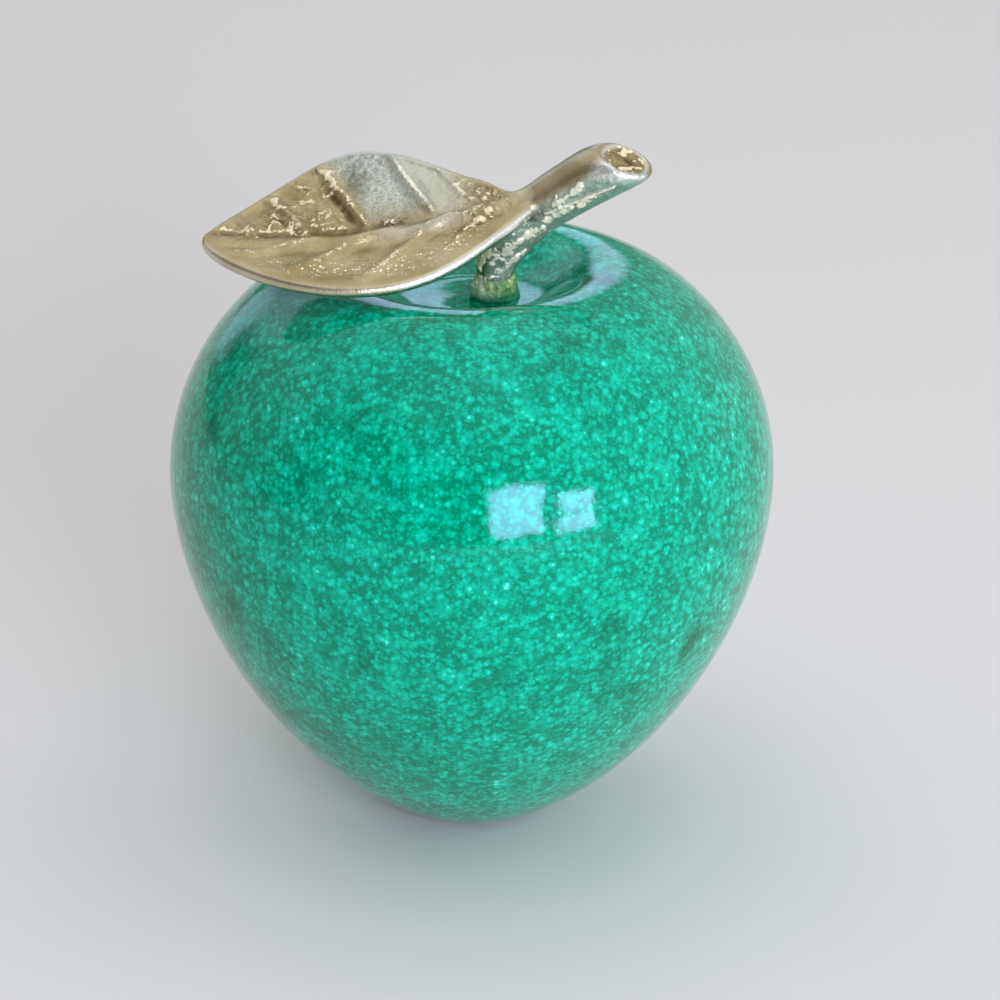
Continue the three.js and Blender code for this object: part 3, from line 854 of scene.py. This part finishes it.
def epoxy_bed():
    """The glue's cup turned about the bore, with a lumpy collar of squeezed-out glue that climbs the foot.

    The collar thins to its top by one less the square of the share climbed, with a small skirt at its
    base, and its rings follow the stem's lean. Lumps of about half a millimetre to one and a half swell
    and shrink its thickness, its top and its skin.
    """
    around, steps = 200, 40
    sleeve = BORE_RADIUS - CLEARANCE
    bottom, floor_z = glue_low[2], pin_low[2] - CLEARANCE
    share = np.linspace(0, 1, steps)[:, None]
    cup = turned([sleeve, sleeve], [bottom, SEAT_Z], around, FOOT_X)
    core = turned([FOOT_RADIUS, HOLE_RADIUS, HOLE_RADIUS], [FOOT_Z, FOOT_Z, floor_z], around, FOOT_X)
    way = unit(cup[0] - (FOOT_X, 0, bottom))
    swell = lumps(way * FOOT_RADIUS, 1.3 * MM, 51)
    climb = mix(0.50, 1.0, lumps(way * FOOT_RADIUS, 1.2 * MM, 53))
    height = mix(SEAT_Z, mix(FOOT_Z, SEAT_Z + MOUND_HEIGHT, climb)[None, :], share)
    samples = np.linspace(0, 0.4, 60)
    line = bezier(STEM_LINE, samples)
    hug = np.interp(height, line[:, 2], stem_radius(samples)) + MOUND_GAP
    middle = np.stack([np.interp(height, line[:, 2], line[:, 0]),
                       np.interp(height, line[:, 2], line[:, 1]), height], axis=-1)
    thick = mix(0.7, 1.3, swell) * (1 - share ** 2) + 0.3 * (1 - share) ** 5
    bead = middle + way * (hug + MOUND_THICKNESS * (1 + dot(way, MOUND_LEAN)) * thick)[..., None]
    spots = bead.reshape(-1, 3)
    lumpy = 0.5 * lumps(spots, 0.9 * MM, 52) + 0.3 * lumps(spots, 0.45 * MM, 54) - 0.35
    bead += way * (MM * lumpy.reshape(bead.shape[:2]) * np.sin(np.pi * share))[..., None]
    points, faces = skin(np.concatenate([cup, bead, core]), (FOOT_X, 0, bottom), (FOOT_X, 0, floor_z))
    return new_mesh("glue_bead", points, faces)


def felt_pad():
    """A pressed disc turned about Z, with a soft edge that bulges by half an ellipse."""
    around = 120
    half = FELT_THICKNESS / 2
    edge_radius = FELT_RADIUS - half / 2
    bend = np.pi * (np.linspace(0, 1, 16) - 0.5)
    edge = np.stack([edge_radius + half / 2 * np.cos(bend), half + half * np.sin(bend)], axis=-1)
    inner = np.linspace(0.1, 0.95, 12) * edge_radius
    under = np.stack([inner, np.zeros_like(inner)], axis=-1)
    over = np.stack([inner[::-1], np.full_like(inner, FELT_THICKNESS)], axis=-1)
    outline = np.vstack([under, edge, over])
    rings = turned(outline[:, 0], outline[:, 1], around, 0)
    points, faces = skin(rings, (0, 0, 0), (0, 0, FELT_THICKNESS))
    return new_mesh("felt_disc", points, faces)


def linear(hex_colour):
    """sRGB hex to a linear colour with alpha."""
    value = np.array([int(hex_colour[i:i + 2], 16) for i in (1, 3, 5)]) / 255
    return (*np.where(value <= 0.04045, value / 12.92, ((value + 0.055) / 1.055) ** 2.4), 1.0)


def add(tree, kind, links=None, stops=None, **settings):
    """Add one node: links gives its sockets a value, another socket or a node, which stands for its first
    output, and stops fills its colour ramp."""
    node = tree.nodes.new("ShaderNode" + kind)
    for name, value in settings.items():
        setattr(node, name, value)
    for name, value in (links or {}).items():
        if isinstance(value, bpy.types.Node):
            value = value.outputs[0]
        if isinstance(value, bpy.types.NodeSocket):
            tree.links.new(value, node.inputs[name])
        else:
            node.inputs[name].default_value = value
    for i, (place, colour) in enumerate(stops or []):
        stop = node.color_ramp.elements[i] if i < 2 else node.color_ramp.elements.new(place)
        stop.position = place
        stop.color = linear(colour)
    return node


def new_material(name):
    """An empty material, its nodes, and the coordinates of the piece in metres."""
    material = bpy.data.materials.new(name)
    material.use_nodes = True
    tree = material.node_tree
    tree.nodes.clear()
    return material, tree, add(tree, "TexCoord").outputs["Object"]


def finish_material(material, sockets):
    """The material with a shader of those sockets on its output."""
    shader = add(material.node_tree, "BsdfPrincipled", sockets)
    add(material.node_tree, "OutputMaterial", {"Surface": shader})
    return material


def stone_material():
    """Dyed marble, turned and polished.

    The dye sits between the grains, so pale sugary grains crowd through a deep green ground, with a few
    dark stains. The polish gives a clear wet gloss with a cool tint, a little wavy and broken up by the
    finest grains.
    """
    material, tree, place = new_material("polished_dyed_green_marble")
    stain = add(tree, "TexNoise", {"Vector": place, "Scale": 1 / (9 * MM), "Detail": 1.0})
    cloud = add(tree, "TexNoise", {"Vector": place, "Scale": 1 / (3.5 * MM), "Detail": 3.0})
    wander = add(tree, "TexNoise", {"Vector": place, "Scale": 1 / (0.5 * MM), "Detail": 2.0})
    moved = add(tree, "VectorMath", {0: wander.outputs["Color"], 1: (0.5 * MM,) * 3, 2: place},
                operation="MULTIPLY_ADD")
    level = add(tree, "MapRange", {
        "Value": cloud, "From Min": 0.3, "From Max": 0.7, "To Min": -0.06, "To Max": 0.10})
    # Packed grains, coarse to fine: spacing in mm, and how much each kind lightens the stone
    for spacing, weight in ((1.05, 0.38), (0.60, 0.38), (0.32, 0.22)):
        cells = add(tree, "TexVoronoi", {"Vector": moved, "Scale": 1 / (spacing * MM)})
        pick = add(tree, "SeparateColor", {"Color": cells.outputs["Color"]})
        core = add(tree, "MapRange", {"Value": cells, "From Min": 0.7, "From Max": 0.1, "To Max": weight})
        level = add(tree, "Math", {0: core, 1: pick, 2: level}, operation="MULTIPLY_ADD")
    grains = add(tree, "ValToRGB", {"Fac": level}, stops=[
        (0.05, "#007853"), (0.19, "#009872"), (0.33, "#00AD88"), (0.54, "#18C2A0"), (0.74, "#76E7D2")])
    shade = add(tree, "ValToRGB", {"Fac": stain}, stops=[(0.20, "#86BEA9"), (0.36, "#FFFFFF")])
    stained = add(tree, "MixRGB", {"Fac": 1.0, "Color1": grains, "Color2": shade}, blend_type="MULTIPLY")
    # Hairline seams where the dye ran in deeper, broken off where the stone is clear of stains
    drift = add(tree, "VectorMath", {0: cloud.outputs["Color"], 1: (4 * MM,) * 3, 2: place},
                operation="MULTIPLY_ADD")
    seams = add(tree, "TexVoronoi", {"Vector": drift, "Scale": 1 / (19 * MM)}, feature="DISTANCE_TO_EDGE")
    seam = add(tree, "MapRange", {"Value": seams, "From Min": 0.02, "From Max": 0.0, "To Max": 0.5})
    broken = add(tree, "MapRange", {"Value": stain, "From Min": 0.55, "From Max": 0.45})
    faint = add(tree, "Math", {0: seam, 1: broken}, operation="MULTIPLY")
    colour = add(tree, "MixRGB", {"Fac": faint, "Color1": stained, "Color2": linear("#00634A")})
    grit = add(tree, "TexNoise", {"Vector": place, "Scale": 1 / (0.3 * MM), "Detail": 2.0})
    wave = add(tree, "TexNoise", {"Vector": place, "Scale": 1 / (6 * MM), "Detail": 2.0})
    wavy = add(tree, "Bump", {"Height": wave, "Distance": 0.12 * MM})
    bump = add(tree, "Bump", {"Height": grit, "Distance": 0.007 * MM, "Normal": wavy})
    return finish_material(material, {
        "Base Color": colour, "Roughness": 0.06, "IOR": 1.42, "Specular Tint": linear("#AEDEFF"),
        "Normal": bump})


def casting_material():
    """Pale gold plate over a sand casting.

    The front rim is buffed bright, and painted highlights brighten it further, and the bar, the stem's lip
    and a streak along the stem; the sunken skin stays matt. A patina darkens the hollows, with painted shade
    on a patch of the leaf. The plate has worn to bare grey metal on the panel and the stem's front. Where the
    mould broke up, dull frosted skin shows as ragged pale flecks, and pale frost on the crests also paints
    their highlights.
    """
    material, tree, place = new_material("pale_gold_plated_sand_casting")
    rough, raised, bare, frost_and_painted_highlight, sprinkle, buffed_and_painted_highlight = (
        add(tree, "Attribute", attribute_name=name).outputs["Fac"]
        for name in ("rough", "raised", "bare", "frost_and_painted_highlight", "sprinkle", "buffed_and_painted_highlight"))
    cloud = add(tree, "TexNoise", {"Vector": place, "Scale": 1 / (5 * MM), "Detail": 4.0})
    pits = add(tree, "TexNoise", {"Vector": place, "Scale": 1 / (0.28 * MM), "Detail": 2.0})
    plate = add(tree, "ValToRGB", {"Fac": cloud}, stops=[(0.35, "#A29265"), (0.65, "#BDAF87")])
    worn = add(tree, "MixRGB", {"Fac": bare, "Color1": plate, "Color2": linear("#C6CEC0")})
    # Painted highlight: buffed and highlit places mixed towards a pale silver
    bright = add(tree, "MixRGB", {"Fac": buffed_and_painted_highlight, "Color1": worn, "Color2": linear("#E2E4DA")})
    sand = add(tree, "ValToRGB", {"Fac": pits}, stops=[(0.36, "#DDD8CE"), (0.58, "#FFFFFF")])
    sandy = add(tree, "MixRGB", {"Fac": rough, "Color1": bright, "Color2": sand}, blend_type="MULTIPLY")
    # Patina and painted shade: darker brown where the raised map is low
    patina_and_painted_shade = add(tree, "ValToRGB", {"Fac": raised}, stops=[(0.05, "#6E5F40"), (0.47, "#FFFFFF")])
    metal = add(tree, "MixRGB", {"Fac": 0.9, "Color1": sandy, "Color2": patina_and_painted_shade}, blend_type="MULTIPLY")
    # Grains sprinkled on the front half, some of them left out
    grains = add(tree, "TexVoronoi", {"Vector": place, "Scale": 1 / (0.42 * MM)})
    grain = add(tree, "MapRange", {"Value": grains, "From Min": 0.42, "From Max": 0.26})
    pick = add(tree, "SeparateColor", {"Color": grains.outputs["Color"]})
    kept = add(tree, "MapRange", {"Value": pick, "From Min": 0.45, "From Max": 0.65})
    speck = add(tree, "Math", {0: grain, 1: kept}, operation="MULTIPLY")
    dusted = add(tree, "Math", {0: speck, 1: sprinkle}, operation="MULTIPLY")
    # Frosted flakes, and pale painted highlights on crests and the bar, torn at their edges by the pits
    torn = add(tree, "Math", {0: pits, 1: frost_and_painted_highlight}, operation="ADD")
    flake = add(tree, "MapRange", {"Value": torn, "From Min": 0.95, "From Max": 1.15})
    cream = add(tree, "MixRGB", {"Fac": bare, "Color1": linear("#DCD2AA"), "Color2": linear("#DCDABC")})
    flaked = add(tree, "MixRGB", {"Fac": flake, "Color1": metal, "Color2": cream})
    colour = add(tree, "MixRGB", {"Fac": dusted, "Color1": flaked, "Color2": linear("#EFE7C8")})
    # Flakes, grains and bare skin are dull, and buffing and painted highlights take the roughness off
    pale = add(tree, "Math", {0: dusted, 1: flake}, operation="MAXIMUM")
    greyed = add(tree, "Math", {0: bare, 1: 0.22}, operation="MULTIPLY")
    chalky = add(tree, "Math", {0: pale, 1: greyed}, operation="MAXIMUM")
    metallic = add(tree, "MapRange", {"Value": chalky, "To Min": 1.0, "To Max": 0.3})
    dulled = add(tree, "Math", {0: rough, 1: buffed_and_painted_highlight}, operation="SUBTRACT")
    matt = add(tree, "MapRange", {"Value": dulled, "To Min": 0.33, "To Max": 0.52})
    bump = add(tree, "Bump", {"Height": pits, "Strength": 0.45, "Distance": 0.1 * MM})
    return finish_material(material, {
        "Base Color": colour, "Metallic": metallic, "Roughness": matt, "Normal": bump})


def pin_material():
    """Drawn brass rod: yellow metal with fine draw lines along it."""
    material, tree, place = new_material("drawn_brass_rod")
    stretch = add(tree, "Mapping", {"Vector": place, "Scale": (1, 1, 0.05)})
    lines = add(tree, "TexNoise", {"Vector": stretch, "Scale": 1 / (0.15 * MM)})
    colour = add(tree, "ValToRGB", {"Fac": lines}, stops=[(0.3, "#B8923F"), (0.7, "#D2AE5C")])
    return finish_material(material, {"Base Color": colour, "Metallic": 1.0, "Roughness": 0.3})


def epoxy_material():
    """Cured epoxy: yellow glue, milky on the left and clear green on the right, glossy with dull smears.

    It holds dust, and where it thins out on the stone, the stone's green shows through it.
    """
    material, tree, place = new_material("cured_yellow_epoxy")
    cloud = add(tree, "TexNoise", {"Vector": place, "Scale": 1 / (2.2 * MM), "Detail": 4.0})
    dust = add(tree, "TexNoise", {"Vector": place, "Scale": 1 / (0.4 * MM), "Detail": 2.0})
    across = add(tree, "SeparateXYZ", {"Vector": place})
    paler = add(tree, "MapRange", {
        "Value": across, "From Min": FOOT_X - FOOT_RADIUS, "From Max": FOOT_X + FOOT_RADIUS,
        "To Min": 0.12, "To Max": -0.12})
    milky = add(tree, "Math", {0: cloud, 1: paler})
    dusty = add(tree, "MapRange", {
        "Value": dust, "From Min": 0.3, "From Max": 0.7, "To Min": -0.14, "To Max": 0.14})
    cloudy = add(tree, "Math", {0: milky, 1: dusty})
    glue = add(tree, "ValToRGB", {"Fac": cloudy}, stops=[
        (0.34, "#4F8A3C"), (0.50, "#93B265"), (0.68, "#DCE4BC")])
    thin = add(tree, "MapRange", {
        "Value": across.outputs["Z"], "From Min": SEAT_Z + 0.1 * MM, "From Max": SEAT_Z + 1.5 * MM,
        "To Min": 0.85, "To Max": 0.0})
    torn = add(tree, "Math", {0: thin, 1: dusty}, use_clamp=True)
    colour = add(tree, "MixRGB", {"Fac": torn, "Color1": glue, "Color2": linear("#129A76")})
    gloss = add(tree, "MapRange", {"Value": cloud, "To Min": 0.3, "To Max": 0.6})
    bump = add(tree, "Bump", {"Height": dust, "Strength": 0.6, "Distance": 0.12 * MM})
    return finish_material(material, {
        "Base Color": colour, "Roughness": gloss, "IOR": 1.54, "Subsurface Weight": 0.5,
        "Subsurface Radius": (1.0, 1.2, 0.5), "Subsurface Scale": 0.8 * MM, "Normal": bump})


def felt_material():
    """Pressed wool felt: matt dark green with matted fibres and a faint nap at the edge."""
    material, tree, place = new_material("pressed_wool_felt")
    fibre = add(tree, "TexNoise", {"Vector": place, "Scale": 1 / (0.5 * MM), "Detail": 4.0})
    colour = add(tree, "ValToRGB", {"Fac": fibre}, stops=[(0.3, "#1B2A22"), (0.7, "#3A5245")])
    bump = add(tree, "Bump", {"Height": fibre, "Strength": 0.6, "Distance": 0.15 * MM})
    return finish_material(material, {
        "Base Color": colour, "Roughness": 0.95, "Sheen Weight": 0.3, "Normal": bump})


# Camera, worked out from the apple's outline in the photograph
CAMERA_RISE = np.radians(23)
CAMERA_DISTANCE = 400 * MM
FOCAL_PIXELS = 3208
PICTURE_PIXELS = 1000
SENSOR_WIDTH = 36.0
MIDDLE_PIXEL = (472.3, 465.3)  # where the apple's axis shows at its widest height


def place_camera():
    """A camera that looks down along +Y, turned a little so that the apple's middle falls on its pixel."""
    forward = np.array([0, np.cos(CAMERA_RISE), -np.sin(CAMERA_RISE)])
    up = np.array([0, np.sin(CAMERA_RISE), np.cos(CAMERA_RISE)])
    middle = np.array([0, 0, WIDEST_Z])
    per_pixel = CAMERA_DISTANCE / FOCAL_PIXELS
    aim = middle - up * (PICTURE_PIXELS / 2 - MIDDLE_PIXEL[1]) * per_pixel
    aim[0] += (PICTURE_PIXELS / 2 - MIDDLE_PIXEL[0]) * per_pixel
    data = bpy.data.cameras.new("camera")
    data.sensor_width = SENSOR_WIDTH
    data.lens = SENSOR_WIDTH * FOCAL_PIXELS / PICTURE_PIXELS
    data.clip_start = 10 * MM
    camera = add_object("camera", data)
    camera.location = middle - forward * CAMERA_DISTANCE
    camera.rotation_euler = Vector(aim - np.array(camera.location)).to_track_quat("-Z", "Y").to_euler()
    bpy.context.scene.camera = camera


# Window panes: azimuth and elevation in degrees, width and height in metres at the lamps' distance
Pane = namedtuple("Pane", "name azimuth elevation width height")
WINDOW_PANES = (
    Pane("window_wide", 17, 14, 0.40, 0.49),
    Pane("window_upper_pane", 39.5, 14, 0.30, 0.18),
    Pane("window_lower_pane", 38.5, 5, 0.32, 0.16),
)
WINDOW_DISTANCE, WINDOW_RADIANCE, WINDOW_COLOUR = 1.2, 20.0, "#E2E4FF"

# Soft glows of the sky: azimuth and elevation in degrees, angles in degrees where each starts and is full,
# strength, and colour
Glow = namedtuple("Glow", "azimuth elevation start full strength colour")
SKY_GLOWS = (
    Glow(95, 25, 90, 0, 0.86, "#FBFBFF"),  # fill from the right
    Glow(-125, 70, 55, 0, 0.82, "#FBFBFF"),  # overhead, a little to the left
    Glow(-5, 60, 32, 8, 0.45, "#FBFBFF"),  # overhead at the front
    Glow(-179, 20, 13, 5, 2.40, "#C6DCFF"),  # cool patch behind
    Glow(-146, 32, 22, 6, 1.10, "#DCEEFF"),  # pale patch that shows in the dimple
    Glow(-150, 8, 12, 4, 1.20, "#CFE4FF"),  # streak that shows on the left shoulder
    Glow(-100, 22, 30, 4, 0.50, "#FFF8EE"),  # warm fill from the left
    Glow(-46, 6, 24, 6, 0.40, "#FBFBFF"),  # low at the front left
)
FLOOR_HALF = 4.0


def facing_way(azimuth, elevation):
    """Direction at an azimuth from the front (-Y) towards +X and an elevation, both in degrees."""
    azimuth, elevation = np.radians(azimuth), np.radians(elevation)
    level = np.cos(elevation)
    return np.array([np.sin(azimuth) * level, -np.cos(azimuth) * level, np.sin(elevation)])


def soft_box(pane):
    """A rectangular soft box that faces the apple."""
    way = facing_way(pane.azimuth, pane.elevation)
    data = bpy.data.lights.new(pane.name, "AREA")
    data.shape = "RECTANGLE"
    data.size = pane.width
    data.size_y = pane.height
    data.energy = WINDOW_RADIANCE * np.pi * pane.width * pane.height
    data.color = linear(WINDOW_COLOUR)[:3]
    lamp = add_object(pane.name, data)
    lamp.location = np.array([0, 0, WIDEST_Z]) + way * WINDOW_DISTANCE
    lamp.rotation_euler = Vector(way).to_track_quat("Z", "Y").to_euler()


def pale_floor():
    """A square of pale matt paper."""
    square = FLOOR_HALF * np.array([(-1, -1, 0), (1, -1, 0), (1, 1, 0), (-1, 1, 0)])
    ground = new_mesh("floor", square, [(0, 1, 2, 3)])
    material = new_material("pale_studio_paper")[0]
    ground.materials.append(finish_material(material, {"Base Color": linear("#DAD8D2"), "Roughness": 0.9}))
    floor = add_object("floor", ground)


def studio_sky():
    """A dim grey sky, a little brighter at the horizon, with the soft glows added to it."""
    world = bpy.data.worlds.new("studio_sky")
    world.use_nodes = True
    tree = world.node_tree
    way = add(tree, "TexCoord").outputs["Generated"]
    height = add(tree, "SeparateXYZ", {"Vector": way}).outputs["Z"]
    level = add(tree, "ValToRGB", {"Fac": height}, stops=[(0.0, "#707070"), (0.2, "#454545")])
    for glow in SKY_GLOWS:
        direction = facing_way(glow.azimuth, glow.elevation)
        facing = add(tree, "VectorMath", {0: way, 1: direction}, operation="DOT_PRODUCT")
        share = add(tree, "MapRange", {
            "Value": facing.outputs["Value"], "From Min": np.cos(np.radians(glow.start)),
            "From Max": np.cos(np.radians(glow.full))}, interpolation_type="SMOOTHSTEP")
        light = tuple(glow.strength * part for part in linear(glow.colour))
        level = add(tree, "MixRGB", {"Fac": share, "Color1": level, "Color2": light}, blend_type="ADD")
    tree.links.new(level.outputs["Color"], tree.nodes["Background"].inputs["Color"])
    bpy.context.scene.world = world


bpy.context.scene.view_settings.view_transform = "Standard"
place_camera()
pale_floor()
for window_pane in WINDOW_PANES:
    soft_box(window_pane)
studio_sky()
add_piece(stone_apple(), stone_material(), "stone_apple")
add_piece(casting(), casting_material(), "leaf_and_stem")
add_piece(epoxy_bed(), epoxy_material(), "epoxy_bed")
add_piece(felt_pad(), felt_material(), "felt_pad")
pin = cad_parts["anchor_pin"]
pin.data.materials.clear()
pin.data.materials.append(pin_material())
